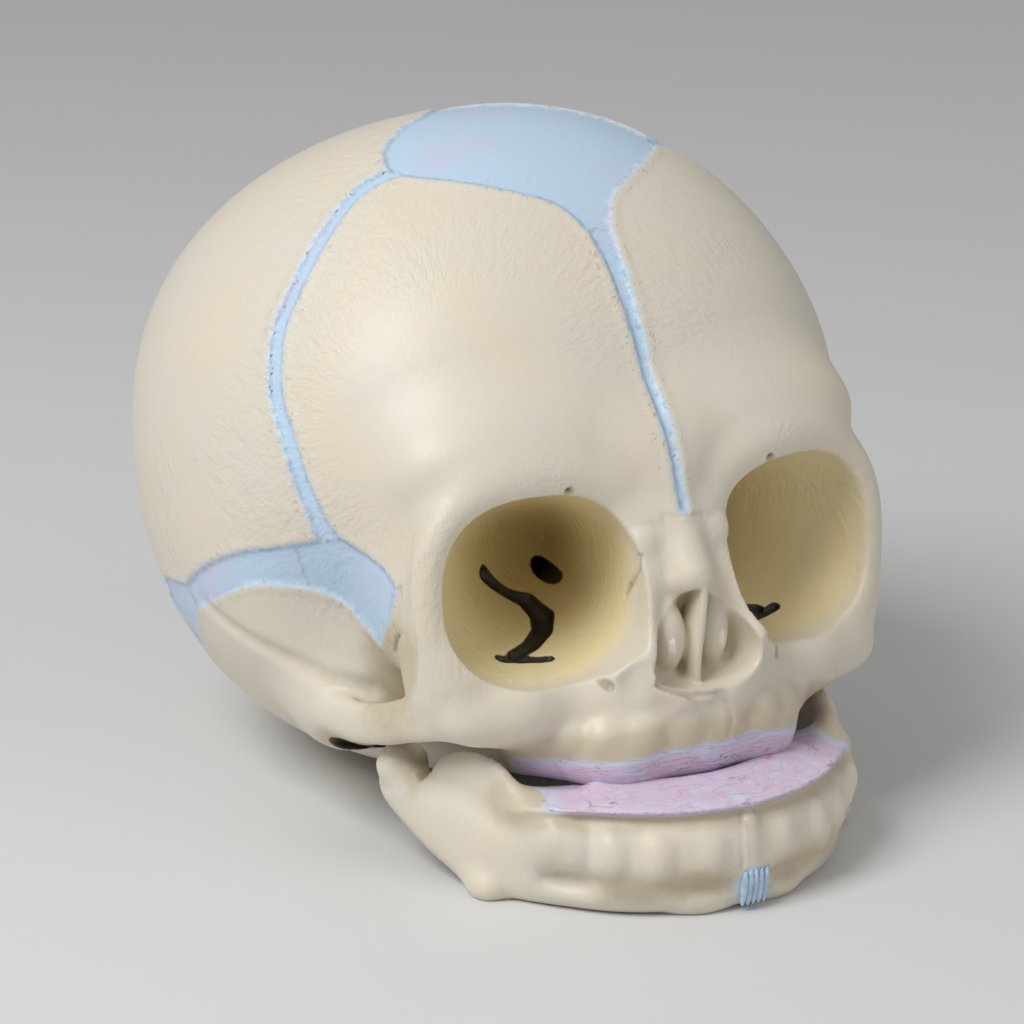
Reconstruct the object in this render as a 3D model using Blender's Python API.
"""Life-size newborn skull model for teaching: the bones of the vault and face, the blue soft seams between
them, the gums, and a lower jaw that swings on its two heads. Metres, +Z up, face towards -Y, the skull's left
at +X."""

import math

import bmesh
import bpy
import numpy as np
from mathutils import Matrix

MM = 0.001

# Vault of the skull: half sizes about its centre, and where that centre is
VAULT_HALF_WIDTH = 49.0 * MM
VAULT_FRONT = 47.5 * MM
VAULT_BACK = 56.0 * MM
VAULT_UP = 50.0 * MM
VAULT_DOWN = 46.5 * MM
VAULT_SETBACK = 3.0 * MM
# The table trims the round of the occiput: its lowest point would reach this far short of the table
VAULT_LIFT = 0.5 * MM
VAULT_HEIGHT = VAULT_DOWN + VAULT_LIFT
VAULT_TILT = math.radians(-16)
VAULT_POWER = 2.15
HALF_BLEND = 3.0
# Swellings and hollows of the vault: direction, spread in degrees, share of the radius
VAULT_SWELL_SHARES = (
    ((0.62, -0.70, 0.36), 24, 0.045),
    ((0.80, 0.50, 0.42), 28, 0.03),
    ((0.80, -0.52, -0.28), 15, -0.09),
    ((0.0, 0.93, -0.30), 25, 0.02),
)

# Face: half width over the cheek bones, reach of the nasal spine, rise of the nose root over the vault's centre
FACE_HALF_WIDTH = 36.0 * MM
FACE_REACH = 58.0 * MM
NASION_RISE = 4.0 * MM
NASION_HEIGHT = VAULT_HEIGHT + NASION_RISE

# Walls, seats and clearances
PLATE = 2.2 * MM
MEMBRANE = 1.3 * MM
MEMBRANE_SINK = 0.35 * MM
SEAT_GAP = 0.36 * MM
OVERRUN = 4.0 * MM
MIDPLANE_SOFTNESS = 0.3 * MM

# Eye sockets: each fits between the nose's root and the rim at its outer side
NOSE_ROOT_HALF_WIDTH = 6.5 * MM
OUTER_RIM_WIDTH = 1.7 * MM
ORBIT_HALF_WIDTH = (FACE_HALF_WIDTH - NOSE_ROOT_HALF_WIDTH - OUTER_RIM_WIDTH) / 2
ORBIT_HALF_HEIGHT = 13.0 * MM
ORBIT_DEPTH = 27.0 * MM
ORBIT_TOE = 1.9 * MM
ORBIT_YAW = math.radians(7)
ORBIT_PITCH = math.radians(4)
ORBIT_SQUARENESS = 2.4
RIM_RADIUS = 2.0 * MM
RIM_OUTSET = 1.9 * MM
RIM_INSET = 2.6 * MM
CANAL_RADIUS = 1.9 * MM

# Nose opening
NOSE_HALF_WIDTH = 7.0 * MM
NOSE_HALF_HEIGHT = 6.6 * MM
NOSE_DEPTH = 20.0 * MM
SEPTUM_THICKNESS = 1.5 * MM

# Lower jaw: how far its heads stand inside the cheek arches, how far the chin leads the nasal spine, and how far
# forward the hinge lies
JAW_INSET = 4.5 * MM
JAW_HALF_WIDTH = FACE_HALF_WIDTH - JAW_INSET
CHIN_LEAD = 6.2 * MM
JAW_REACH = FACE_REACH + CHIN_LEAD
HINGE_FORWARD = 27.5 * MM
CONDYLE_RADIUS = 3.8 * MM
SYMPHYSIS_WIDTH = 1.6 * MM
JAW_FLAT = 0.3 * MM
FORAMEN_MAGNUM_HALF_LENGTH = 10.5 * MM
FORAMEN_MAGNUM_HALF_WIDTH = 8.5 * MM

# Spacing of the points along the edges of plates
VAULT_SPACING = 6.0 * MM
FACE_SPACING = 3.5 * MM
MOST_INSET_SHARE = 0.3
FAN_SPACING_POWER = 0.9
CAST_STEPS = 70
CAST_STEP_SHARE = 0.7
# Backs of the face bones, as distances from the face's centre, and where the cheeks start, in degrees round
MAXILLA_BACK = 41.5 * MM
CHEEK_BACK = 50.0 * MM
CHEEK_NEAR_DEGREES, CHEEK_FAR_DEGREES = 24.0, 34.0
NOSE_BONE_DEPTH = 5.0 * MM
GUM_DEPTH = 9.0 * MM
SPHENOID_DEPTH = 6.5 * MM
SPHENOID_CLEARANCE = 0.6 * MM
SPHENOID_LAG_DEGREES = 3.0
SPHENOID_TOP = 46.5 * MM
# Roof of the eye sockets: degrees up and round where the frontal bone turns from a plate to a wedge, and how far
# back the wedge reaches
ROOF_LOW_DEGREES, ROOF_HIGH_DEGREES = 8.5, 14.5
ROOF_NEAR_DEGREES, ROOF_FAR_DEGREES = 34.0, 43.0
ROOF_BACK = 24.0 * MM
ORBIT_SIDES = 24
ORBIT_STATION_SHARES = (-0.5, 0.0, 0.14, 0.3, 0.46, 0.62, 0.78, 0.9, 0.97)
ORBIT_TAPER_POWER = 1.5
ORBIT_ROUNDNESS = 0.8
NOSE_SIDES = 20
NOSE_ROUNDNESS = 2.2
NOSE_PEAR_SHARE = 0.28
NOSE_TAPER_SHARES = ((-0.6, 1.0), (0.0, 1.0), (0.4, 0.95), (0.8, 0.8), (1.0, 0.45))
VOMER_SPAN_SHARES = (0.05, 0.93)
CONCHA_OFFSET = (3.9 * MM, 6.5 * MM, -1.2 * MM)
CONCHA_HALF_SIZES = (1.7 * MM, 5.0 * MM, 3.6 * MM)
FORAMEN_BACK = 4.0 * MM
FORAMEN_TOP = 12.0 * MM
FORAMEN_SIDES = 20
MAXILLA_HUB_SHARES = (0.31, -0.897, 0.51)
ZYGOMATIC_HUB_SHARES = (0.87, -0.76, 0.6)
NASAL_HUB_SHARES = (0.06, -0.9, 0.9)
WING_BASE_MIDDLE = (47, -36)
# Outline of the bone behind the sockets, as degrees round and up from the face's centre
SPHENOID_EDGE = ((0, 42), (12, 42), (24, 41), (33, 36), (36, 26), (36, 14), (30, 4), (24, -6), (20, -16),
                 (14, -25), (8, -30), (0, -31))
SPHENOID_HUB = (0, 14)
# Lower jaw: places in shares of its half width, reach and height, then half thickness and half height in shares
# of its height
HINGE_SHARES = (1.0, -0.428, 1.0)
CONDYLE_SHAPE_SHARES = np.array((1.0, 0.8, 0.8))
JAW_STATION_SHARES = (
    (0.030, -1.000, 0.507, 0.300, 0.514), (0.190, -0.986, 0.507, 0.307, 0.514),
    (0.365, -0.950, 0.507, 0.314, 0.514), (0.508, -0.903, 0.507, 0.314, 0.514),
    (0.651, -0.833, 0.493, 0.279, 0.500), (0.771, -0.763, 0.464, 0.236, 0.471),
    (0.863, -0.693, 0.457, 0.200, 0.464), (0.921, -0.631, 0.543, 0.171, 0.443),
    (0.959, -0.561, 0.614, 0.157, 0.407), (0.984, -0.491, 0.707, 0.164, 0.357),
    (0.997, -0.430, 0.814, 0.207, 0.300), (1.000, -0.399, 0.871, 0.157, 0.200),
)
JAW_SIDES = 14
ARCH_SIDES = 10
ARCH_SQUARENESS = 2.3
JAW_SQUARENESS = 2.3
CORONOID_SHARES = (
    (0.914, -0.662, 0.714, 0.143, 0.393), (0.902, -0.639, 1.000, 0.121, 0.329),
    (0.889, -0.611, 1.214, 0.093, 0.186), (0.883, -0.595, 1.329, 0.057, 0.086),
)
RIDGE_GROWTH_SHARE = 1.06
GUM_STATIONS = 6
LOWER_GUM_HALF_HEIGHT = 0.85 * MM
LOWER_GUM_WIDTH_SHARE = 0.86
# Cheek arch: places in shares of FACE, but at its root across in shares of VAULT_HALF_WIDTH, then half sizes in
# shares of FACE_HALF_WIDTH
CHEEK_ARCH_SHARES = ((0.958, -0.690, 0.490, 0.056, 0.089),
                     (0.983, -0.621, 0.463, 0.050, 0.086),
                     (1.003, -0.543, 0.429, 0.047, 0.083))
TEMPLE_ARCH_SHARES = ((1.004, -0.534, 0.426, 0.047, 0.083),)
TEMPLE_ROOT_SHARES = ((0.753, -0.414, 0.392, 0.050, 0.081),
                      (0.735, -0.276, 0.373, 0.083, 0.089))
# Seat over the jaw's head, from the head across to the root of the arch
JAW_SEAT_LEAST = 1.4 * MM
JAW_SEAT_HALF_LENGTH = 3.8 * MM
JAW_SEAT_HALF_HEIGHT = 1.8 * MM
JAW_SEAT_SETBACK = 1.2 * MM
# Mouth line, and the jaw's height that leaves room for both gums over it
MOUTH_LINE_SHARE = 0.33
MOUTH_GAP = 0.48 * MM
JAW_TOP_SHARE = 1.021
JAW_ROOM = NASION_HEIGHT * MOUTH_LINE_SHARE - MOUTH_GAP - 2 * LOWER_GUM_HALF_HEIGHT - SEAT_GAP
JAW_HEIGHT = JAW_ROOM / JAW_TOP_SHARE
# Buds of the unborn teeth under both gums: along the jaw in stations, and on the face in shares of FACE
JAW_BUD_SHARES = (1.0, 2.0, 3.0, 4.0)
JAW_BUD_HALF_SIZES = (3.3 * MM, 3.3 * MM, 4.2 * MM)
JAW_BUD_PROUD = 0.7 * MM
JAW_BUD_RISE = 1.6 * MM
FACE_BUD_SHARES = ((0.092, -0.952), (0.250, -0.945), (0.378, -0.917), (0.461, -0.857))
FACE_BUD_HALF_SIZES = (2.9 * MM, 2.9 * MM, 2.5 * MM)
FACE_BUD_CLEARANCE = 0.9 * MM
# Small openings: under each socket, in the brow over it, and the ear's, in shares of FACE
CHEEK_OPENING_SHARES = (0.406, -0.890, 0.590)
CHEEK_OPENING_RADIUS = 0.9 * MM
CHEEK_OPENING_DEPTH = 4.0 * MM
EAR_OPENING_SHARES = (0.964, -0.291, 0.263)
EAR_OPENING_HALF_SIZES = (2.2 * MM, 1.4 * MM)
EAR_OPENING_DEPTH = 7.0 * MM
CHEEK_OPENING_WAY = (-0.1, 0.8, 0.5)
EAR_OPENING_WAY = (-1, 0.15, 0)
# Openings at the back of each eye socket: the round canal, the slit beside it and the groove that runs on along
# the floor, in shares of the socket's half width, half height and depth
CANAL_SHARES = (-0.73, -0.25, 0.8)
CANAL_LENGTH = 14.0 * MM
SLIT_SHARES = ((0.05, -0.15), (-0.25, -0.27), (-0.45, -0.45), (-0.47, -0.62), (-0.36, -0.72))
SLIT_HALF_WIDTH = 0.9 * MM
SLIT_SPAN_SHARES = (0.3, 1.35)
GROOVE_SHARES = ((-0.45, -0.69, 0.50), (-0.19, -0.81, 0.40), (0.21, -0.86, 0.31))
GROOVE_RADIUS = 0.9 * MM
SMALL_SIDES = 8
# Wall between the sockets: half width, span front to back, and its edges, in shares of FACE
ETHMOID_SHARES = ((-0.665, 0.9, 0.908), (-0.55, 0.853, 0.908))
ETHMOID_HALF_WIDTH_SHARE = 0.19
JAW_NAMES = ("mandible", "chin", "lower_gum", "condyle", "coronoid", "jaw_bud")

VAULT_CENTRE = np.array([0.0, VAULT_SETBACK, VAULT_HEIGHT])
FACE = np.array([FACE_HALF_WIDTH, FACE_REACH, NASION_HEIGHT])
FACE_CENTRE_SHARES = (0.0, 0.17, 0.49)
FACE_CENTRE = FACE * FACE_CENTRE_SHARES
ORBIT_SETBACK_SHARE = -0.802
ORBIT_RISE_SHARE = 0.835
ORBIT_CENTRE = np.array([
    NOSE_ROOT_HALF_WIDTH + ORBIT_HALF_WIDTH, FACE_REACH * ORBIT_SETBACK_SHARE, NASION_HEIGHT * ORBIT_RISE_SHARE,
])
ORBIT = np.array([ORBIT_HALF_WIDTH, ORBIT_HALF_HEIGHT, ORBIT_DEPTH])
NOSE_CENTRE_SHARES = (0.0, -0.96, 0.69)
NOSE_CENTRE = FACE * NOSE_CENTRE_SHARES

# Lobes of the face: centre in shares of FACE, half sizes and blend in shares of FACE_HALF_WIDTH
LOBE_SHARES = {
    "brow": ((0.472, -0.595, 1.137), (0.528, 0.292, 0.250), 0.194),
    "glabella": ((0.0, -0.655, 1.098), (0.250, 0.250, 0.222), 0.167),
    "wall_beside_eye": ((0.875, -0.569, 0.804), (0.125, 0.306, 0.361), 0.139),
    "cheek": ((0.847, -0.698, 0.578), (0.181, 0.181, 0.208), 0.139),
    "muzzle": ((0.0, -0.707, 0.500), (0.611, 0.444, 0.347), 0.167),
    "ear_root": ((0.917, -0.207, 0.373), (0.167, 0.250, 0.194), 0.139),
    "base": ((0.0, -0.310, 0.392), (0.417, 0.556, 0.250), 0.167),
}
RIM_BLEND_SHARE = 0.11
# Ridges of the face: two ends, the radius at each end and the blend, in the same shares
RIDGE_SHARES = {
    "gum_arch_front": ((0.0, -0.917, 0.385), (0.306, -0.886, 0.385), 0.133, 0.133, 0.10),
    "gum_arch_side": ((0.306, -0.886, 0.385), (0.569, -0.724, 0.385), 0.133, 0.122, 0.10),
    "nose_bridge": ((0.0, -0.767, 1.039), (0.0, -0.879, 0.853), 0.100, 0.106, 0.111),
    "beside_nose": ((0.139, -0.784, 0.961), (0.250, -0.897, 0.647), 0.078, 0.089, 0.111),
    "nose_edge": ((0.228, -0.905, 0.647), (0.111, -0.940, 0.539), 0.067, 0.061, 0.083),
    "nose_spine": ((0.0, -0.897, 0.539), (0.0, -0.983, 0.561), 0.056, 0.020, 0.069),
}

CREAM = (0.80, 0.74, 0.62)
BLUE = (0.55, 0.70, 0.86)
LILAC = (0.70, 0.58, 0.72)
BONE_ROUGHNESS = 0.42


def blend_min(a, b, width):
    """Smooth smallest of two distances, rounded over width."""
    share = np.clip(0.5 + 0.5 * (b - a) / width, 0, 1)
    return b * (1 - share) + a * share - width * share * (1 - share)


def vault_radius(direction):
    """Distance from the vault's centre to its outer surface, along unit directions."""
    cos, sin = math.cos(VAULT_TILT), math.sin(VAULT_TILT)
    x = direction[..., 0]
    y = cos * direction[..., 1] + sin * direction[..., 2]
    z = cos * direction[..., 2] - sin * direction[..., 1]
    front = 0.5 - 0.5 * np.tanh(HALF_BLEND * y)
    above = 0.5 + 0.5 * np.tanh(HALF_BLEND * z)
    length = VAULT_FRONT * front + VAULT_BACK * (1 - front)
    height = VAULT_UP * above + VAULT_DOWN * (1 - above)
    total = np.abs(x / VAULT_HALF_WIDTH) ** VAULT_POWER
    total = total + np.abs(y / length) ** VAULT_POWER + np.abs(z / height) ** VAULT_POWER
    radius = total ** (-1 / VAULT_POWER)
    mirrored = np.stack([np.abs(x), direction[..., 1], direction[..., 2]], -1)
    for towards, spread, share in VAULT_SWELL_SHARES:
        axis = np.array(towards) / np.linalg.norm(towards)
        angle = np.degrees(np.arccos(np.clip(mirrored @ axis, -1, 1)))
        radius = radius * (1 + share * np.exp(-((angle / spread) ** 2)))
    return radius


def vault_distance(points):
    offset = points - VAULT_CENTRE
    length = np.linalg.norm(offset, axis=-1)
    return length - vault_radius(offset / length[..., None])


def lobe_distance(points, centre, half_sizes):
    """Near enough the distance to an ellipsoid."""
    scaled = (points - centre) / half_sizes
    length = np.linalg.norm(scaled, axis=-1)
    slope = np.linalg.norm(scaled / half_sizes, axis=-1)
    return length * (length - 1) / slope


def ridge_distance(points, start, end, first, last):
    """Distance to a tapered ridge with round ends."""
    along = end - start
    share = np.clip((points - start) @ along / (along @ along), 0, 1)
    away = points - start - share[..., None] * along
    return np.linalg.norm(away, axis=-1) - (first + (last - first) * share)


def into_orbit(points):
    """Points in the eye socket's own frame: across, up, and depth into the head."""
    offset = points - ORBIT_CENTRE
    cos, sin = math.cos(ORBIT_YAW), math.sin(ORBIT_YAW)
    across = cos * offset[..., 0] + sin * offset[..., 1]
    depth = cos * offset[..., 1] - sin * offset[..., 0]
    cos, sin = math.cos(ORBIT_PITCH), math.sin(ORBIT_PITCH)
    up = cos * offset[..., 2] + sin * depth
    return across, up, cos * depth - sin * offset[..., 2]


def out_of_orbit(across, up, depth):
    """The reverse of into_orbit."""
    cos, sin = math.cos(ORBIT_PITCH), math.sin(ORBIT_PITCH)
    z = cos * up - sin * depth
    level = cos * depth + sin * up
    cos, sin = math.cos(ORBIT_YAW), math.sin(ORBIT_YAW)
    return np.stack([cos * across - sin * level, sin * across + cos * level, z], -1) + ORBIT_CENTRE


def rim_distance(points):
    """The rounded edge that stands round each eye socket."""
    across, up, depth = into_orbit(points)
    power = ORBIT_SQUARENESS
    size = (np.abs(across / ORBIT_HALF_WIDTH) ** power + np.abs(up / ORBIT_HALF_HEIGHT) ** power) ** (1 / power)
    length = np.hypot(across, up)
    edge = length / size
    return np.hypot(length - edge - RIM_OUTSET, depth - RIM_INSET) - RIM_RADIUS


def outer_distance(points):
    """The outside of the skull before its sockets and openings are cut."""
    mirrored = points.copy()
    mirrored[..., 0] = np.hypot(points[..., 0], MIDPLANE_SOFTNESS)
    distance = vault_distance(points)
    for centre, half_sizes, blend in LOBE_SHARES.values():
        lobe = lobe_distance(mirrored, FACE * centre, FACE_HALF_WIDTH * np.array(half_sizes))
        distance = blend_min(distance, lobe, FACE_HALF_WIDTH * blend)
    distance = blend_min(distance, rim_distance(mirrored), FACE_HALF_WIDTH * RIM_BLEND_SHARE)
    for start, end, first, last, blend in RIDGE_SHARES.values():
        ridge = ridge_distance(
            mirrored, FACE * start, FACE * end, FACE_HALF_WIDTH * first, FACE_HALF_WIDTH * last
        )
        distance = blend_min(distance, ridge, FACE_HALF_WIDTH * blend)
    return distance


def cast(centre, directions, distance, reach):
    """Radius at which rays from far out towards the centre first meet the surface."""
    radius = np.full(directions.shape[:-1], reach)
    for _ in range(CAST_STEPS):
        radius = radius - CAST_STEP_SHARE * np.maximum(distance(centre + directions * radius[..., None]), 0)
    return radius


def unit(vectors):
    return vectors / np.linalg.norm(vectors, axis=-1, keepdims=True)


def bearing(degrees_round, degrees_up):
    """Unit direction: degrees round from the front towards the skull's left, and degrees up."""
    a, b = np.radians(degrees_round), np.radians(degrees_up)
    return np.stack([np.sin(a) * np.cos(b), -np.cos(a) * np.cos(b), np.sin(b)], -1)


def smooth_path(directions, count):
    """Unit directions along a smooth curve through the given ones, evenly spaced."""
    points = np.array(directions)
    padded = np.concatenate([2 * points[:1] - points[1:2], points, 2 * points[-1:] - points[-2:-1]])
    fine = []
    shares = np.linspace(0, 1, 12, endpoint=False)[:, None]
    for a, b, c, d in zip(padded, padded[1:], padded[2:], padded[3:]):
        fine.append(
            0.5 * (2 * b + (c - a) * shares + (2 * a - 5 * b + 4 * c - d) * shares**2
                   + (3 * b - a - 3 * c + d) * shares**3)
        )
    fine = np.concatenate(fine + [points[-1:]])
    steps = np.concatenate([[0], np.cumsum(np.linalg.norm(np.diff(fine, axis=0), axis=1))])
    wanted = np.linspace(0, steps[-1], count)
    return unit(np.stack([np.interp(wanted, steps, fine[:, i]) for i in range(3)], -1))


def drawn_in(loop, hub, inset):
    """Closed loop of directions drawn in towards its hub's side by an angle at each point."""
    along = np.roll(loop, -1, 0) - np.roll(loop, 1, 0)
    inward = unit(np.cross(loop, along))
    inward = inward * np.sign(((hub - loop) * inward).sum())
    return unit(loop + inward * inset[:, None])


def new_object(name, verts, faces, colour, roughness=BONE_ROUGHNESS):
    mesh = bpy.data.meshes.new(name)
    mesh.from_pydata([tuple(v) for v in verts], [], [tuple(f) for f in faces])
    build = bmesh.new()
    build.from_mesh(mesh)
    bmesh.ops.recalc_face_normals(build, faces=build.faces)
    build.to_mesh(mesh)
    build.free()
    item = bpy.data.objects.new(name, mesh)
    bpy.context.scene.collection.objects.link(item)
    mesh.shade_smooth()
    mesh.set_sharp_from_angle(angle=math.radians(40))
    mesh.materials.append(finish(colour, roughness))
    return item


def finish(colour, roughness):
    name = "finish_%02d_%02d_%02d" % tuple(int(c * 99) for c in colour)
    found = bpy.data.materials.get(name)
    if found:
        return found
    material = bpy.data.materials.new(name)
    material.use_nodes = True
    shader = material.node_tree.nodes["Principled BSDF"]
    shader.inputs["Base Color"].default_value = (*colour, 1)
    shader.inputs["Roughness"].default_value = roughness
    return material


def thick_fan(name, centre, loop, hub, rings, outer_radius, inner_radius, colour):
    """Closed plate over a loop of directions: rings of points about a hub, outside and inside."""
    count = len(loop)
    shares = (np.arange(1, rings + 1) / rings) ** FAN_SPACING_POWER
    grid = unit(hub + shares[:, None, None] * (loop[None] - hub))
    outer = np.concatenate([[centre + hub * outer_radius(hub[None])[0]],
                            (centre + grid * outer_radius(grid)[..., None]).reshape(-1, 3)])
    inner = np.concatenate([[centre + hub * inner_radius(hub[None])[0]],
                            (centre + grid * inner_radius(grid)[..., None]).reshape(-1, 3)])
    verts = np.concatenate([outer, inner])
    faces = []
    half = len(outer)
    for base in (0, half):
        for j in range(count):
            k = (j + 1) % count
            tri = (base, base + 1 + j, base + 1 + k)
            faces.append(tri if base == 0 else tri[::-1])
            for r in range(rings - 1):
                a, b = base + 1 + r * count, base + 1 + (r + 1) * count
                quad = (a + j, b + j, b + k, a + k)
                faces.append(quad if base == 0 else quad[::-1])
    edge = 1 + (rings - 1) * count
    for j in range(count):
        k = (j + 1) % count
        faces.append((edge + j, half + edge + j, half + edge + k, edge + k))
    return new_object(name, verts, faces, colour)


def thick_strip(name, centre, side_a, side_b, across, outer_radius, inner_radius, colour):
    """Closed band between two paths of directions."""
    count = len(side_a)
    shares = np.linspace(0, 1, across + 1)[:, None, None]
    grid = unit(side_a[None] * (1 - shares) + side_b[None] * shares)
    outer = (centre + grid * outer_radius(grid)[..., None]).reshape(-1, 3)
    inner = (centre + grid * inner_radius(grid)[..., None]).reshape(-1, 3)
    verts = np.concatenate([outer, inner])
    half = len(outer)
    faces = []
    for base in (0, half):
        for r in range(across):
            for j in range(count - 1):
                a, b = base + r * count + j, base + (r + 1) * count + j
                quad = (a, b, b + 1, a + 1)
                faces.append(quad if base == 0 else quad[::-1])
    ring = [j for j in range(count)] + [r * count + count - 1 for r in range(1, across + 1)]
    ring += [across * count + j for j in range(count - 2, -1, -1)]
    ring += [r * count for r in range(across - 1, 0, -1)]
    for a, b in zip(ring, ring[1:] + ring[:1]):
        faces.append((a, b, half + b, half + a))
    return new_object(name, verts, faces, colour)


# Edges on the skull's left, as (degrees round from the front, degrees up) about the vault's centre
METOPIC_EDGE = ((0.7, 4.5), (0.8, 12), (1.0, 22), (1.4, 34), (2.2, 46), (3.2, 52.5))
FONTANELLE_FRONT_EDGE = ((3.2, 52.5), (9.3, 58), (25, 61.5), (48, 62.8), (61.5, 62.6))
FONTANELLE_BACK_EDGE = ((68, 63.5), (80, 68), (95, 74.5), (125, 79.5), (155, 78.5), (175, 73.5))
CORONAL_FRONT_EDGE = ((61.5, 62.6), (68.8, 57), (69.6, 46), (69.6, 37), (69.6, 31), (66.8, 22.2), (62.3, 15),
                      (59.6, 9.3), (56.6, 3.8), (54.3, 0.5))
CORONAL_BACK_EDGE = ((68, 63.5), (72.6, 57.5), (72.6, 46), (72.3, 37), (72.3, 31), (69.4, 22.2), (65, 14.8),
                     (62.2, 9), (59.3, 3), (58.0, -0.6))
SPHENOIDAL_FRONT_EDGE = ((54.3, 0.5), (49.7, -1.6), (46.5, -3.0), (44.1, -5.6))
SPHENOIDAL_WING_EDGE = ((44.1, -5.6), (46, -11), (49.2, -18))
SPHENOIDAL_TEMPORAL_EDGE = ((49.2, -18), (51.6, -16.5), (56.5, -12.3), (63, -10.4))
SQUAMOUS_TEMPORAL_EDGE = ((63, -10.4), (71.9, -10.7), (78, -12.8), (84, -15.8), (92.3, -19.9), (95, -21.5))
SQUAMOUS_PARIETAL_EDGE = ((63.6, -2.4), (70, -4.3), (75.8, -6.2), (83, -9.5), (89.4, -13.1), (95.5, -17))
SPHENOIDAL_PARIETAL_EDGE = ((58.0, -0.6), (63.6, -2.4))
MASTOID_TEMPORAL_EDGE = ((95, -21.5), (99.5, -26), (104, -30.5), (108.5, -35), (108, -38.5), (105, -42),
                         (100.5, -46.5), (95, -51.5))
MASTOID_PARIETAL_EDGE = ((95.5, -17), (104, -18.5), (112, -20.3))
MASTOID_OCCIPITAL_EDGE = ((116.3, -24.5), (117, -28), (115.5, -34), (111.3, -40), (107.4, -43.9),
                          (103, -48.2), (97.2, -53.4))
LAMBDOID_PARIETAL_EDGE = ((172.6, 35.6), (168, 32), (157, 21.5), (143.5, 8), (130, -5.5), (119.5, -15.5),
                          (112, -20.3))
LAMBDOID_OCCIPITAL_EDGE = ((170.4, 31.8), (166.5, 29.6), (155, 18.6), (141.5, 5), (128.5, -8.3),
                           (120.5, -17), (116.3, -24.5))
SAGITTAL_EDGE = ((175, 73.5), (178, 62), (178.8, 52), (179.3, 43))
POSTERIOR_PARIETAL_EDGE = ((179.3, 43), (176, 38.8), (172.6, 35.6))
POSTERIOR_OCCIPITAL_EDGE = ((180, 31), (175.5, 31.2), (170.4, 31.8))
SPHENOTEMPORAL_EDGE = ((49.2, -18), (50.5, -30), (53.5, -42))
TEMPORAL_BASE_EDGE = ((95, -51.5), (85, -54.5), (72, -54), (60, -50), (53.5, -42))
OCCIPITAL_BASE_EDGE = ((97.2, -53.4), (85, -56.6), (72, -57.5), (58, -58.5), (40, -60), (20, -60), (0, -60))

# Edges of the face bones on the left, as shares of FACE
NOSE_ROOT_SHARES = ((0.0, -0.83, 1.0), (0.07, -0.83, 0.995), (0.145, -0.81, 0.975))
INNER_BROW_SHARES = ((0.145, -0.81, 0.975), (0.217, -0.785, 0.958), (0.33, -0.76, 0.945), (0.567, -0.76, 0.94))
OUTER_BROW_SHARES = ((0.567, -0.76, 0.94), (0.75, -0.76, 0.94), (0.85, -0.76, 0.947), (0.967, -0.715, 0.955))
BROW_PARTS = (NOSE_ROOT_SHARES, INNER_BROW_SHARES, OUTER_BROW_SHARES)
WALL_EDGE_SHARES = ((0.967, -0.715, 0.955), (1.0, -0.664, 0.862), (1.005, -0.647, 0.745), (1.016, -0.638, 0.627),
                    (1.033, -0.62, 0.53), (1.014, -0.62, 0.41))
GUM_TOP_SHARES = ((0.0, -1.0, 0.41), (0.194, -1.0, 0.408), (0.389, -0.95, 0.395), (0.556, -0.845, 0.378),
                  (0.66, -0.76, 0.375))
GUM_BOTTOM_SHARES = tuple((x, y, MOUTH_LINE_SHARE) for x, y, _ in GUM_TOP_SHARES)
MAXILLA_SHARES = ((0.66, -0.76, 0.375), (0.711, -0.793, 0.40), (0.70, -0.845, 0.48), (0.628, -0.862, 0.545),
                  (0.57, -0.81, 0.612), (0.567, -0.76, 0.75), (0.567, -0.76, 0.93))
MAXILLA_MIDDLE_SHARES = ((0.145, -0.81, 0.965), (0.128, -0.862, 0.892), (0.131, -0.914, 0.829),
                         (0.07, -0.948, 0.818), (0.0, -0.966, 0.814))
ZYGOMATIC_SHARES = ((0.567, -0.76, 0.93), (0.567, -0.76, 0.75), (0.57, -0.81, 0.612), (0.628, -0.862, 0.545),
                    (0.70, -0.845, 0.48), (0.711, -0.793, 0.40), (0.806, -0.776, 0.384), (0.917, -0.707, 0.388))
NASAL_SHARES = ((0.0, -0.966, 0.822), (0.067, -0.948, 0.826), (0.122, -0.914, 0.837), (0.119, -0.862, 0.898),
                (0.132, -0.828, 0.968), (0.07, -0.83, 0.983), (0.0, -0.836, 0.988))


# About the middle of each plate, in the same degrees
HUB_DEGREES = {
    "frontal_bone": (33, 27), "parietal_bone": (112, 30), "temporal_bone": (76, -31), "sphenoid_wing": (46, -19),
    "sphenoidal_fontanelle": (53, -7.5), "occipital_bone": (180, -52), "anterior_fontanelle": (0, 79),
    "posterior_fontanelle": (180, 36),
}


# Outer wall of the eye socket: how far round it stands in these degrees, and how far round the edges follow it
WALL_SHARES = (1.005, 0.647)
WALL_DEGREES = 41.755
WALL_SPREAD_DEGREES = 35


def traced(directions, spacing):
    """Directions along a smooth curve through the given ones, about so far apart at the vault's half width."""
    rows = np.array(directions)
    length = np.linalg.norm(np.diff(rows, axis=0), axis=1).sum() * VAULT_HALF_WIDTH
    return smooth_path(rows, max(3, 1 + round(length / spacing)))


def degrees(edge):
    """Directions of an edge given in degrees; near the temple it follows the outer wall of the eye socket."""
    rounds, ups = np.array(edge, float).T
    wall = math.degrees(math.atan2(FACE_HALF_WIDTH * WALL_SHARES[0], VAULT_SETBACK + FACE_REACH * WALL_SHARES[1]))
    near_share = rounds / WALL_DEGREES * np.exp(-(((rounds - WALL_DEGREES) / WALL_SPREAD_DEGREES) ** 2))
    return bearing(rounds + (wall - WALL_DEGREES) * near_share, ups)


def hub(name):
    return degrees([HUB_DEGREES[name]])[0]


def vault_edge(edge):
    return traced(degrees(edge), VAULT_SPACING)


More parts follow.
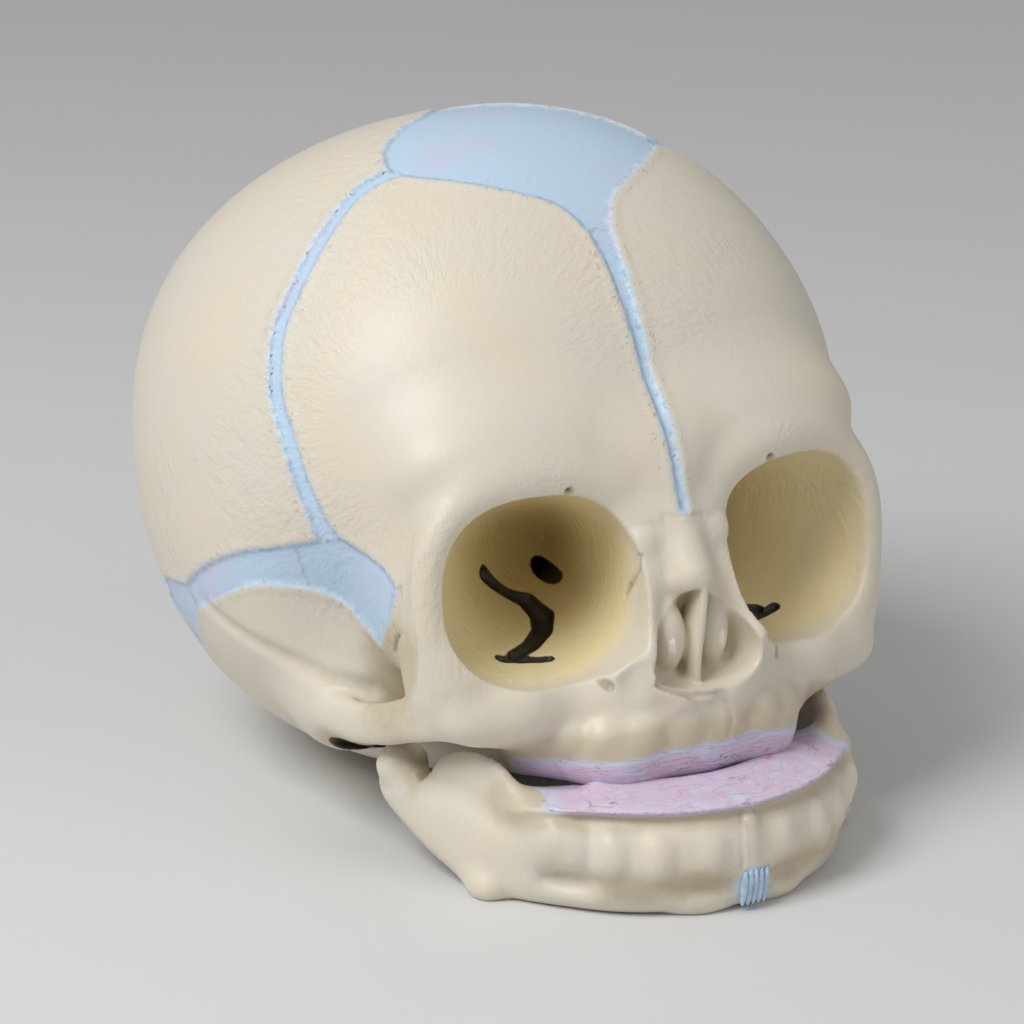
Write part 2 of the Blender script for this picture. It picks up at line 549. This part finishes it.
def seam_edges(edge_a, edge_b, spacing=None):
    """Both sides of a seam, with as many points on each."""
    spacing = spacing or VAULT_SPACING
    a = traced(degrees(edge_a), spacing)
    return a, smooth_path(degrees(edge_b), len(a))


def vault_outer(directions):
    return cast(VAULT_CENTRE, directions, outer_distance, VAULT_BACK + VAULT_HALF_WIDTH)


def vault_inner(directions):
    return vault_outer(directions) - PLATE


def membrane_outer(directions):
    return vault_outer(directions) - MEMBRANE_SINK


def membrane_inner(directions):
    return vault_outer(directions) - MEMBRANE_SINK - MEMBRANE


def face_outer(directions):
    return cast(FACE_CENTRE, directions, outer_distance, FACE_REACH + VAULT_HALF_WIDTH)


def face_inner(directions):
    """Inside of the face bones: far back beside the nose, nearer the front in the cheeks."""
    cheek_share = ramp(degrees_round(directions), CHEEK_NEAR_DEGREES, CHEEK_FAR_DEGREES)
    return MAXILLA_BACK + (CHEEK_BACK - MAXILLA_BACK) * cheek_share


def nasal_inner(directions):
    return face_outer(directions) - NOSE_BONE_DEPTH


def gum_inner(directions):
    return face_outer(directions) - GUM_DEPTH


def sphenoid_outer(directions):
    lagged = degrees_round(directions) - SPHENOID_LAG_DEGREES
    side_share = ramp(lagged, CHEEK_NEAR_DEGREES, CHEEK_FAR_DEGREES)
    return MAXILLA_BACK + (CHEEK_BACK - MAXILLA_BACK) * side_share - SPHENOID_CLEARANCE


def sphenoid_inner(directions):
    return sphenoid_outer(directions) - SPHENOID_DEPTH


def degrees_round(directions):
    """Degrees round from the front, to either side."""
    return np.degrees(np.arctan2(np.abs(directions[..., 0]), -directions[..., 1]))


def ramp(value, low, high):
    share = np.clip((value - low) / (high - low), 0, 1)
    return share * share * (3 - 2 * share)


def frontal_inner(directions):
    """Inside of the frontal bone: a plate above, and solid down to the roof of the eye socket below."""
    up = np.degrees(np.arcsin(np.clip(directions[..., 2], -1, 1)))
    side_share = ramp(degrees_round(directions), ROOF_NEAR_DEGREES, ROOF_FAR_DEGREES)
    plate_share = np.maximum(ramp(up, ROOF_LOW_DEGREES, ROOF_HIGH_DEGREES), side_share)
    return ROOF_BACK + (vault_inner(directions) - ROOF_BACK) * plate_share


def sides():
    return (("left", 1), ("right", -1))


def flip(points, side):
    return points if side > 0 else points * (-1, 1, 1)


def face_directions(shares):
    return unit(FACE * np.array(shares) - FACE_CENTRE)


def face_edge(shares):
    """An edge drawn on the face, as directions from the face's centre and from the vault's."""
    towards = traced(face_directions(shares), FACE_SPACING)
    points = FACE_CENTRE + towards * face_outer(towards)[:, None]
    return towards, unit(points - VAULT_CENTRE)


def joined(*paths):
    """One closed loop from paths that each start where the last one ends."""
    return np.concatenate([path[:-1] for path in paths])


def bone(name, loop, hub, side, rings, outer, inner, centre=None, colour=CREAM):
    """A plate over a closed loop of directions, clear of its neighbours by half the gap."""
    centre = VAULT_CENTRE if centre is None else centre
    loop = drawn_in(loop, hub, SEAT_GAP / 2 / outer(loop))
    return thick_fan(name, centre, flip(loop, side), flip(hub, side), rings, outer, inner, colour)


def band(name, a, b, side, across):
    """A soft seam between two edges, clear of the plates on both sides and at both ends."""
    width = np.arccos(np.clip((a * b).sum(-1), -1, 1))
    share = np.minimum(SEAT_GAP / 2 / membrane_outer(a) / width, MOST_INSET_SHARE)[:, None]
    a, b = unit(a + (b - a) * share), unit(b + (a - b) * share)
    for path in (a, b):
        for end, beside in ((0, 1), (-1, -2)):
            path[end] = unit(path[end] + unit(path[beside] - path[end]) * (SEAT_GAP / 2 / VAULT_HALF_WIDTH))
    a, b = flip(a, side), flip(b, side)
    return thick_strip(name, VAULT_CENTRE, a, b, across, membrane_outer, membrane_inner, BLUE)


def cutter(name, verts, faces):
    item = new_object(name, verts, faces, CREAM)
    item.hide_render = True
    item.display_type = "WIRE"
    return item


def cut(item, tool, operation="DIFFERENCE"):
    boolean = item.modifiers.new(tool.name, "BOOLEAN")
    boolean.operation = operation
    boolean.object = tool
    boolean.solver = "EXACT"
    return item


def loft(rings):
    """Verts and faces of a closed loft through rings of equal counts."""
    count = len(rings[0])
    faces = []
    for r in range(len(rings) - 1):
        for j in range(count):
            k = (j + 1) % count
            a, b = r * count, (r + 1) * count
            faces.append((a + j, a + k, b + k, b + j))
    last = (len(rings) - 1) * count
    faces.append(tuple(range(count))[::-1])
    faces.append(tuple(last + j for j in range(count)))
    return np.concatenate(rings), faces


def oval(half_width, half_height, power, count):
    """Points of a rounded oval, across and up."""
    angle = np.arange(count) * 2 * math.pi / count
    cos, sin = np.cos(angle), np.sin(angle)
    size = (np.abs(cos) ** power + np.abs(sin) ** power) ** (-1 / power)
    return cos * size * half_width, sin * size * half_height


def tube(centres, half_across, half_up, sides_round, power=2.0):
    """A loft of rounded ovals along a path, each square to it."""
    centres = np.array(centres)
    way = unit(np.gradient(centres, axis=0))
    across_way = unit(np.cross(way, (0, 0, 1)))
    up_way = np.cross(across_way, way)
    rings = []
    for centre, across_dir, up_dir, a, b in zip(centres, across_way, up_way, half_across, half_up):
        across, up = oval(a, b, power, sides_round)
        rings.append(centre + across[:, None] * across_dir + up[:, None] * up_dir)
    return rings


def ball(centre, half_sizes, segments=14, rings=9):
    """Verts and faces of an ellipsoid."""
    build = bmesh.new()
    bmesh.ops.create_uvsphere(build, u_segments=segments, v_segments=rings, radius=1)
    verts = [np.array(v.co) * half_sizes + centre for v in build.verts]
    faces = [[v.index for v in face.verts] for face in build.faces]
    build.free()
    return verts, faces


def rod(centre, way, half_across, half_up, back, ahead):
    """Verts and faces of a straight rod of oval section, from behind its centre to ahead of it."""
    way = unit(np.array(way, float))
    ends = [centre - way * back, centre + way * ahead]
    return loft(tube(ends, [half_across] * 2, [half_up] * 2, SMALL_SIDES))


def orbit_rings():
    """Rings of the eye socket from in front of the face to its apex, its inner wall nearly straight."""
    rings = []
    for share in ORBIT_STATION_SHARES:
        inside = max(share, 0)
        size = (1 - inside**ORBIT_TAPER_POWER) ** ORBIT_ROUNDNESS
        across, up = oval(ORBIT_HALF_WIDTH * size, ORBIT_HALF_HEIGHT * size, ORBIT_SQUARENESS, ORBIT_SIDES)
        shift = ORBIT_TOE * inside - ORBIT_HALF_WIDTH * (1 - size)
        depth = np.full(ORBIT_SIDES, ORBIT_DEPTH * share)
        rings.append(out_of_orbit(across + shift, up, depth))
    return rings


def slit_rings():
    """Outline of the slit at the back of the eye socket, run along the socket's depth."""
    middle = np.array(SLIT_SHARES) * ORBIT[:2]
    along = unit(np.gradient(middle, axis=0))
    beside = np.stack([-along[:, 1], along[:, 0]], -1) * SLIT_HALF_WIDTH
    tips = np.array([middle[0] - along[0] * SLIT_HALF_WIDTH, middle[-1] + along[-1] * SLIT_HALF_WIDTH])
    outline = np.concatenate([tips[:1], middle + beside, tips[1:], (middle - beside)[::-1]])
    return [out_of_orbit(*outline.T, np.full(len(outline), ORBIT_DEPTH * share)) for share in SLIT_SPAN_SHARES]


def nose_size(share):
    """Size of the nose opening going in, as a share of its size at the face."""
    return np.interp(share, *np.array(NOSE_TAPER_SHARES).T)


def nose_rings():
    """The pear-shaped opening of the nose, wider below, run back into the face."""
    across, up = oval(NOSE_HALF_WIDTH, NOSE_HALF_HEIGHT, NOSE_ROUNDNESS, NOSE_SIDES)
    across = across * (1 - NOSE_PEAR_SHARE * up / NOSE_HALF_HEIGHT)
    rings = []
    for share, _ in NOSE_TAPER_SHARES:
        y = np.full(NOSE_SIDES, NOSE_CENTRE[1] + NOSE_DEPTH * share)
        size = nose_size(share)
        rings.append(np.stack([across * size, y, NOSE_CENTRE[2] + up * size], -1))
    return rings


def arch_rows(shares, root_shares=()):
    """Stations of the cheek arch: those on the face, then those at its root, which follow the vault's width."""
    half_sizes = (FACE_HALF_WIDTH, FACE_HALF_WIDTH)
    rows = [np.array(row) * (*FACE, *half_sizes) for row in shares]
    rows += [np.array(row) * (VAULT_HALF_WIDTH, *FACE[1:], *half_sizes) for row in root_shares]
    return np.array(rows)


def arch(name, rows, side):
    rings = tube(rows[:, :3], rows[:, 3], rows[:, 4], ARCH_SIDES, ARCH_SQUARENESS)
    return cutter(name, *loft([flip(ring, side) for ring in rings]))


def jaw_seat():
    """Centre and half sizes of the lump over the jaw's head, which reaches across to the root of the arch."""
    root = arch_rows((), TEMPLE_ROOT_SHARES)[0, 0]
    half_width = math.hypot((root - JAW_HALF_WIDTH) / 2, JAW_SEAT_LEAST)
    head_top = JAW_HEIGHT + CONDYLE_RADIUS * CONDYLE_SHAPE_SHARES[2]
    rise = head_top + SEAT_GAP + JAW_SEAT_HALF_HEIGHT
    centre = ((root + JAW_HALF_WIDTH) / 2, JAW_SEAT_SETBACK - HINGE_FORWARD, rise)
    return np.array(centre), np.array((half_width, JAW_SEAT_HALF_LENGTH, JAW_SEAT_HALF_HEIGHT))


def jaw_places(shares):
    """Places on the jaw, in shares of its half width, of its reach and of its height; the hinge stays put."""
    x, y, z = np.array(shares, float)[..., :3].T
    ahead = (y - HINGE_SHARES[1]) / (-1 - HINGE_SHARES[1])
    y = -HINGE_FORWARD - ahead * (JAW_REACH - HINGE_FORWARD)
    return np.stack([x * JAW_HALF_WIDTH, y, z * JAW_HEIGHT], -1)


def block(name, low, high):
    """A wide block between two heights."""
    reach = VAULT_HALF_WIDTH
    corners = np.array([(-reach, -reach), (reach, -reach), (reach, reach), (-reach, reach)])
    return cutter(name, *loft([np.column_stack([corners, np.full(4, z)]) for z in (low, high)]))


def make_cutters():
    for word, side in sides():
        cutter("orbit_cut_" + word, *loft([flip(ring, side) for ring in orbit_rings()]))
    cutter("nose_cut", *loft(nose_rings()))
    across, up = oval(FORAMEN_MAGNUM_HALF_WIDTH, FORAMEN_MAGNUM_HALF_LENGTH, 2, FORAMEN_SIDES)
    rings = [
        np.stack([across, FORAMEN_BACK + up, np.full(FORAMEN_SIDES, z)], -1) for z in (-OVERRUN, FORAMEN_TOP)
    ]
    cutter("foramen_cut", *loft(rings))
    canal = out_of_orbit(*ORBIT * CANAL_SHARES)
    canal_way = out_of_orbit(0, 0, 1) - ORBIT_CENTRE
    groove = out_of_orbit(*(ORBIT * GROOVE_SHARES).T)
    small_cuts = (
        ("canal_cut_", rod(canal, canal_way, CANAL_RADIUS, CANAL_RADIUS, 0, CANAL_LENGTH)),
        ("slit_cut_", loft(slit_rings())),
        ("groove_cut_", loft(tube(groove, [GROOVE_RADIUS] * 3, [GROOVE_RADIUS] * 3, SMALL_SIDES))),
        ("cheek_opening_", rod(FACE * CHEEK_OPENING_SHARES, CHEEK_OPENING_WAY, CHEEK_OPENING_RADIUS,
                               CHEEK_OPENING_RADIUS, CHEEK_OPENING_DEPTH, CHEEK_OPENING_DEPTH)),
        ("ear_opening_", rod(FACE * EAR_OPENING_SHARES, EAR_OPENING_WAY, *EAR_OPENING_HALF_SIZES,
                             EAR_OPENING_DEPTH, EAR_OPENING_DEPTH)),
    )
    for name, (verts, faces) in small_cuts:
        for word, side in sides():
            cutter(name + word, flip(np.array(verts), side), faces)
    block("table_cut", -VAULT_HALF_WIDTH, 0)


def vault_bones():
    metopic = vault_edge(METOPIC_EDGE)
    sagittal = vault_edge(SAGITTAL_EDGE)
    coronal_front, coronal_back = seam_edges(CORONAL_FRONT_EDGE, CORONAL_BACK_EDGE)
    lambdoid_parietal, lambdoid_occipital = seam_edges(LAMBDOID_PARIETAL_EDGE, LAMBDOID_OCCIPITAL_EDGE)
    squamous_parietal, squamous_temporal = seam_edges(SQUAMOUS_PARIETAL_EDGE, SQUAMOUS_TEMPORAL_EDGE)
    font_front, font_back = vault_edge(FONTANELLE_FRONT_EDGE), vault_edge(FONTANELLE_BACK_EDGE)
    behind_parietal = vault_edge(POSTERIOR_PARIETAL_EDGE)
    behind_occipital = vault_edge(POSTERIOR_OCCIPITAL_EDGE)
    side_front, side_wing = vault_edge(SPHENOIDAL_FRONT_EDGE), vault_edge(SPHENOIDAL_WING_EDGE)
    side_temporal, side_parietal = vault_edge(SPHENOIDAL_TEMPORAL_EDGE), vault_edge(SPHENOIDAL_PARIETAL_EDGE)
    ear_parietal = vault_edge(MASTOID_PARIETAL_EDGE)
    ear_temporal, ear_occipital = seam_edges(MASTOID_TEMPORAL_EDGE, MASTOID_OCCIPITAL_EDGE)
    wing_temporal = vault_edge(SPHENOTEMPORAL_EDGE)
    temporal_base, occipital_base = vault_edge(TEMPORAL_BASE_EDGE), vault_edge(OCCIPITAL_BASE_EDGE)
    brow = np.concatenate([face_edge(shares)[1][skip:] for skip, shares in zip((0, 1, 1), BROW_PARTS)])
    wall_top = face_edge(WALL_EDGE_SHARES[:2])[1]
    wall = face_edge(WALL_EDGE_SHARES[1:])[1]
    wing_front = np.array([side_front[-1], unit(side_front[-1] + wall[0]), wall[0]])
    wing_base = traced((wing_temporal[-1], bearing(*WING_BASE_MIDDLE), wall[-1]), VAULT_SPACING)
    metopic[0] = unit(brow[0] + (metopic[0, 0], 0, 0))
    brow = brow[1:]

    for word, side in sides():
        loop = np.concatenate([metopic[:-1], font_front[:-1], coronal_front[:-1], side_front[:-1], wing_front[:-1],
                               wall_top[::-1][:-1], brow[::-1]])
        item = bone("frontal_bone_" + word, loop, hub("frontal_bone"), side, 6, vault_outer, frontal_inner)
        cut(item, bpy.data.objects["orbit_cut_" + word])
        loop = joined(
            coronal_back[::-1], font_back, sagittal, behind_parietal, lambdoid_parietal, ear_parietal[::-1],
            squamous_parietal[::-1], side_parietal[::-1],
        )
        bone("parietal_bone_" + word, loop, hub("parietal_bone"), side, 6, vault_outer, vault_inner)
        loop = joined(side_temporal, squamous_temporal, ear_temporal, temporal_base, wing_temporal[::-1])
        item = bone("temporal_bone_" + word, loop, hub("temporal_bone"), side, 4, vault_outer, vault_inner)
        cut(item, arch("temple_arch_" + word, arch_rows(TEMPLE_ARCH_SHARES, TEMPLE_ROOT_SHARES), side), "UNION")
        seat, half_sizes = jaw_seat()
        cut(item, cutter("jaw_seat_" + word, *ball(flip(seat, side), half_sizes)), "UNION")
        cut(item, bpy.data.objects["ear_opening_" + word])
        loop = joined(side_wing, wing_temporal, wing_base, wall[::-1], wing_front[::-1])
        bone("sphenoid_wing_" + word, loop, hub("sphenoid_wing"), side, 3, vault_outer, vault_inner)

        band("coronal_suture_" + word, coronal_front, coronal_back, side, 1)
        band("lambdoid_suture_" + word, lambdoid_parietal, lambdoid_occipital, side, 1)
        band("squamous_suture_" + word, squamous_parietal, squamous_temporal, side, 1)
        outer_way = traced(np.concatenate([ear_parietal, ear_occipital]), VAULT_SPACING)
        band("mastoid_fontanelle_" + word, smooth_path(outer_way, len(ear_temporal)), ear_temporal, side, 2)
        loop = joined(side_front, side_wing, side_temporal, np.array([side_temporal[-1], side_parietal[-1]]),
                      side_parietal[::-1], np.array([side_parietal[0], side_front[0]]))
        bone("sphenoidal_fontanelle_" + word, loop, hub("sphenoidal_fontanelle"), side, 2, membrane_outer, membrane_inner,
             colour=BLUE)

    left = np.concatenate([behind_occipital, lambdoid_occipital[1:], ear_occipital[1:], occipital_base[1:]])
    loop = np.concatenate([left, flip(left[1:-1][::-1], -1)])
    occipital = bone("occipital_bone", loop, hub("occipital_bone"), 1, 5, vault_outer, vault_inner)
    cut(cut(occipital, bpy.data.objects["foramen_cut"]), bpy.data.objects["table_cut"])
    left = np.concatenate([font_front, font_back])
    loop = np.concatenate([left, flip(left[::-1], -1)])
    bone("anterior_fontanelle", loop, hub("anterior_fontanelle"), 1, 3, membrane_outer, membrane_inner, colour=BLUE)
    band("metopic_suture", metopic, flip(metopic, -1), 1, 1)
    band("sagittal_suture", sagittal, flip(sagittal, -1), 1, 1)
    left = np.concatenate([behind_parietal, behind_occipital[::-1]])
    loop = np.concatenate([left, flip(left[:-1][::-1], -1)])
    bone("posterior_fontanelle", loop, hub("posterior_fontanelle"), 1, 2, membrane_outer, membrane_inner, colour=BLUE)


def face_bones():
    wall_top, wall = face_edge(WALL_EDGE_SHARES[:2])[0], face_edge(WALL_EDGE_SHARES[1:])[0]
    gum_top, gum_bottom = face_edge(GUM_TOP_SHARES)[0], face_edge(GUM_BOTTOM_SHARES)[0]
    gum_bottom = smooth_path(gum_bottom, len(gum_top))
    inner_brow = face_edge(INNER_BROW_SHARES)[0]
    maxilla = np.concatenate([gum_top[:-1], face_edge(MAXILLA_SHARES)[0], inner_brow[::-1][1:-1],
                              face_edge(MAXILLA_MIDDLE_SHARES)[0]])
    outer_brow = face_edge(OUTER_BROW_SHARES)[0]
    zygomatic = np.concatenate([face_edge(ZYGOMATIC_SHARES)[0], wall[::-1][:-1], wall_top[::-1][:-1],
                                outer_brow[::-1][:-1]])
    nasal = face_edge(NASAL_SHARES)[0]
    nose = bpy.data.objects["nose_cut"]
    for word, side in sides():
        orbit = bpy.data.objects["orbit_cut_" + word]
        item = bone("maxilla_" + word, maxilla, face_directions(MAXILLA_HUB_SHARES), side, 5,
                    face_outer, face_inner, FACE_CENTRE)
        for i, (across, ahead) in enumerate(FACE_BUD_SHARES):
            gum_line = NASION_HEIGHT * np.interp(across, *np.array(GUM_TOP_SHARES)[:, ::2].T)
            rise = gum_line + FACE_BUD_CLEARANCE + FACE_BUD_HALF_SIZES[2]
            place = np.array((across * FACE_HALF_WIDTH, ahead * FACE_REACH, rise))
            bud = ball(flip(place, side), FACE_BUD_HALF_SIZES, SMALL_SIDES, SMALL_SIDES - 2)
            cut(item, cutter("face_bud_%d_%s" % (i, word), *bud), "UNION")
        cut(cut(item, orbit), nose)
        cut(cut(item, bpy.data.objects["cheek_opening_" + word]), bpy.data.objects["groove_cut_" + word])
        item = bone("zygomatic_bone_" + word, zygomatic, face_directions(ZYGOMATIC_HUB_SHARES), side, 4,
                    face_outer, face_inner, FACE_CENTRE)
        cut(cut(item, orbit), bpy.data.objects["groove_cut_" + word])
        cut(item, arch("cheek_arch_" + word, arch_rows(CHEEK_ARCH_SHARES), side), "UNION")
        item = bone("nasal_bone_" + word, nasal, face_directions(NASAL_HUB_SHARES), side, 2,
                    face_outer, nasal_inner, FACE_CENTRE)
        cut(cut(item, orbit), nose)
    top = np.concatenate([flip(gum_top[1:][::-1], -1), gum_top])
    bottom = np.concatenate([flip(gum_bottom[1:][::-1], -1), gum_bottom])
    drop = (SEAT_GAP / face_outer(top))[:, None]
    top = unit(top + unit(bottom - top) * drop)
    thick_strip("upper_gum", FACE_CENTRE, top, bottom, 3, face_outer, gum_inner, LILAC)


def middle_bones():
    """The bone behind both sockets, the wall between them, and the plates inside the nose."""
    half = bearing(*np.array(SPHENOID_EDGE, float).T)
    loop = np.concatenate([half, flip(half[1:-1][::-1], -1)])
    hub = bearing(*SPHENOID_HUB)
    item = thick_fan("sphenoid_bone", FACE_CENTRE, loop, hub, 4, sphenoid_outer, sphenoid_inner, CREAM)
    for word, _ in sides():
        for name in ("orbit_cut_", "canal_cut_", "slit_cut_", "groove_cut_"):
            cut(item, bpy.data.objects[name + word])
    cut(item, block("sphenoid_top_cut", SPHENOID_TOP, SPHENOID_TOP + VAULT_HALF_WIDTH))
    half_width = ETHMOID_HALF_WIDTH_SHARE * FACE_HALF_WIDTH
    rings = [
        np.array([(x * half_width, y * FACE_REACH, z * NASION_HEIGHT)
                  for x, z in ((-1, low), (1, low), (1, high), (-1, high))])
        for y, low, high in ETHMOID_SHARES
    ]
    item = new_object("ethmoid_bone", *loft(rings), CREAM)
    for word, _ in sides():
        cut(item, bpy.data.objects["orbit_cut_" + word])
    shares = np.linspace(*VOMER_SPAN_SHARES, 7)
    rings = []
    for share in shares:
        half_height = NOSE_HALF_HEIGHT * nose_size(share) - SEAT_GAP
        y = NOSE_CENTRE[1] + NOSE_DEPTH * share
        x = SEPTUM_THICKNESS / 2
        rings.append(np.array([(sx * x, y, NOSE_CENTRE[2] + sz * half_height)
                               for sx, sz in ((-1, -1), (1, -1), (1, 1), (-1, 1))]))
    new_object("vomer", *loft(rings), CREAM)
    for word, side in sides():
        centre = NOSE_CENTRE + np.array(CONCHA_OFFSET) * (side, 1, 1)
        new_object("nasal_concha_" + word, *ball(centre, CONCHA_HALF_SIZES), CREAM)


def jaw_bud(centres, thick, station):
    """Centre of a tooth's bud, which stands proud of the jaw's outer side."""
    rows = np.arange(len(centres))
    place = np.array([np.interp(station, rows, centres[:, i]) for i in range(3)])
    along = np.array([np.interp(station, rows, np.gradient(centres[:, i])) for i in range(3)])
    out = unit(np.cross(along, (0, 0, 1)))
    proud = np.interp(station, rows, thick) + JAW_BUD_PROUD - JAW_BUD_HALF_SIZES[0]
    return place - out * math.copysign(proud, out[1]) + np.array((0, 0, JAW_BUD_RISE))


def lower_jaw():
    stations = np.array(JAW_STATION_SHARES)
    centres = jaw_places(JAW_STATION_SHARES)
    centres[0, 0] = SYMPHYSIS_WIDTH / 2 + SEAT_GAP / 2
    thick, tall = JAW_HEIGHT * stations[:, 3], JAW_HEIGHT * stations[:, 4]
    for word, side in sides():
        rings = tube(centres, thick, tall, JAW_SIDES, JAW_SQUARENESS)
        rings[0][:, 0] = centres[0, 0]
        for ring in rings:
            ring[:, 2] = np.maximum(ring[:, 2] - JAW_FLAT, 0)
        item = new_object("mandible_" + word, *loft([flip(ring, side) for ring in rings]), CREAM)
        head = ball(flip(jaw_places(HINGE_SHARES), side), CONDYLE_SHAPE_SHARES * CONDYLE_RADIUS)
        cut(item, cutter("condyle_" + word, *head), "UNION")
        for i, station in enumerate(JAW_BUD_SHARES):
            bud = ball(flip(jaw_bud(centres, thick, station), side), JAW_BUD_HALF_SIZES, SMALL_SIDES, SMALL_SIDES - 2)
            cut(item, cutter("jaw_bud_%d_%s" % (i, word), *bud), "UNION")
        spur = np.array(CORONOID_SHARES)
        rings = tube(jaw_places(CORONOID_SHARES), JAW_HEIGHT * spur[:, 3], JAW_HEIGHT * spur[:, 4], SMALL_SIDES)
        cut(item, cutter("coronoid_" + word, *loft([flip(ring, side) for ring in rings])), "UNION")
    across, up = oval(thick[0] * RIDGE_GROWTH_SHARE, tall[0] * RIDGE_GROWTH_SHARE, JAW_SQUARENESS, JAW_SIDES)
    rings = []
    for x in (-SYMPHYSIS_WIDTH / 2, SYMPHYSIS_WIDTH / 2):
        ring = np.stack([np.full(JAW_SIDES, x), centres[0, 1] + across, centres[0, 2] + up], -1)
        ring[:, 2] = np.maximum(ring[:, 2] - JAW_FLAT, 0)
        rings.append(ring)
    new_object("chin_symphysis", *loft(rings), BLUE)

    count = GUM_STATIONS
    gum = centres[:count].copy()
    gum[0, 0] = 0
    rise = tall[:count] + SEAT_GAP + LOWER_GUM_HALF_HEIGHT
    gum[:, 2] += rise
    gum = np.concatenate([flip(gum[1:][::-1], -1), gum])
    half = thick[:count] * LOWER_GUM_WIDTH_SHARE
    half = np.concatenate([half[1:][::-1], half])
    rings = tube(gum, half, np.full(len(gum), LOWER_GUM_HALF_HEIGHT), 12)
    new_object("lower_gum", *loft(rings), LILAC)


def place_origin():
    """Moves everything so that the origin is under the middle of the model, and turns the jaw about its hinge."""
    shown = [item for item in bpy.data.objects if not item.hide_render]
    corners = np.array([v.co[:] for item in shown for v in item.data.vertices])
    middle = (corners.min(0) + corners.max(0)) / 2
    shift = np.array([-middle[0], -middle[1], 0])
    hinge = jaw_places(HINGE_SHARES) * (0, 1, 1)
    for item in bpy.data.objects:
        item.location = shift
        if item.name.startswith(JAW_NAMES):
            item.data.transform(Matrix.Translation(-hinge))
            item.location = shift + hinge
    print("hinge", *(shift + hinge), "shift", *shift)


for old in list(bpy.data.objects):
    bpy.data.objects.remove(old, do_unlink=True)

make_cutters()
vault_bones()
face_bones()
middle_bones()
lower_jaw()
place_origin()
